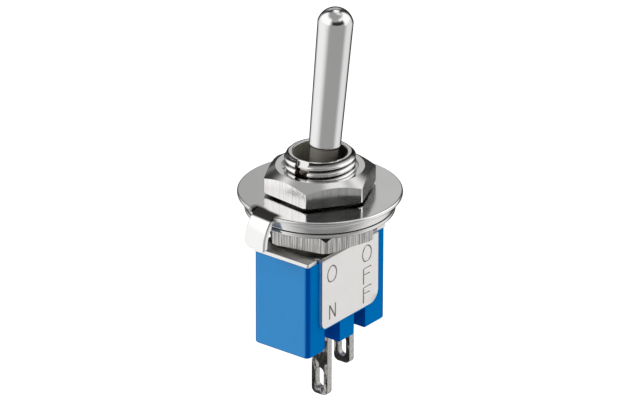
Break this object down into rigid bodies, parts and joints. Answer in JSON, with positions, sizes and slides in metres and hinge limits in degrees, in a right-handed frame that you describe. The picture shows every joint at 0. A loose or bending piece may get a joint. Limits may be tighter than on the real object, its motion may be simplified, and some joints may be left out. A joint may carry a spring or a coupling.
{
  "type": "panel toggle switch",
  "caption": "Sub-miniature panel toggle switch with a bat lever, threaded bushing, nuts, locating ring, blue housing in a folded bracket and two solder lugs.",
  "frame": {"origin": "on the bushing's axis, at the top face of the locating ring, where the back of the panel seats", "axes": "+Z along the bushing towards the lever's tip; +X along the housing towards the OFF end and the switched lug; -Y is the lettered face"},
  "size_m": [0.0123, 0.0114, 0.0287],
  "materials": {
    "blue_moulding": "fine moulded sheen",
    "satin_steel": "satin, tinned",
    "nickel": "bright nickel plate",
    "ring_nickel": "bright nickel plate, pressed sheet",
    "polished_nickel": "polished nickel plate",
    "pin_steel": "ground",
    "white_nylon": "moulded",
    "spring_steel": "drawn wire",
    "contact_bronze": "rolled strip",
    "contact_silver": "silver",
    "tinned_brass": "dull tin plate"
  },
  "bodies": {
    "case": {"housing": "blue_moulding", "bracket": "satin_steel", "bushing": "nickel", "pivot_pin": "pin_steel", "common_lug": "tinned_brass", "switched_lug": "tinned_brass", "fixed_contact": "contact_silver", "lower_nut": "nickel", "upper_nut": "nickel", "lock_washer": "nickel", "spacer_washer": "nickel", "locating_ring": "ring_nickel"},
    "lever": {"lever": "polished_nickel", "plunger_spring": "spring_steel"},
    "plunger": {"plunger": "white_nylon"},
    "rocker": {"rocker": "contact_bronze", "rocker_contact": "contact_silver"}
  },
  "joints": [
    {"name": "lever_toggle", "type": "hinge", "parent": "case", "child": "lever", "pos_m": [0, 0, -0.00082], "axis": [0, -1, 0], "range_deg": [0, 15]},
    {"name": "rocker_tip", "type": "hinge", "parent": "case", "child": "rocker", "pos_m": [0, 0, -0.00782], "axis": [0, 1, 0], "range_deg": [0, 18]},
    {"name": "plunger_slide", "type": "slide", "parent": "lever", "child": "plunger", "axis": [0.1305, 0, 0.9914], "range_m": [0, 0.0004], "stiffness_N_per_m": 400, "deforming": ["plunger_spring"]}
  ],
  "couplings": [
    {"joint": "rocker_tip", "follows": "lever_toggle", "ratio": 1.2}
  ]
}
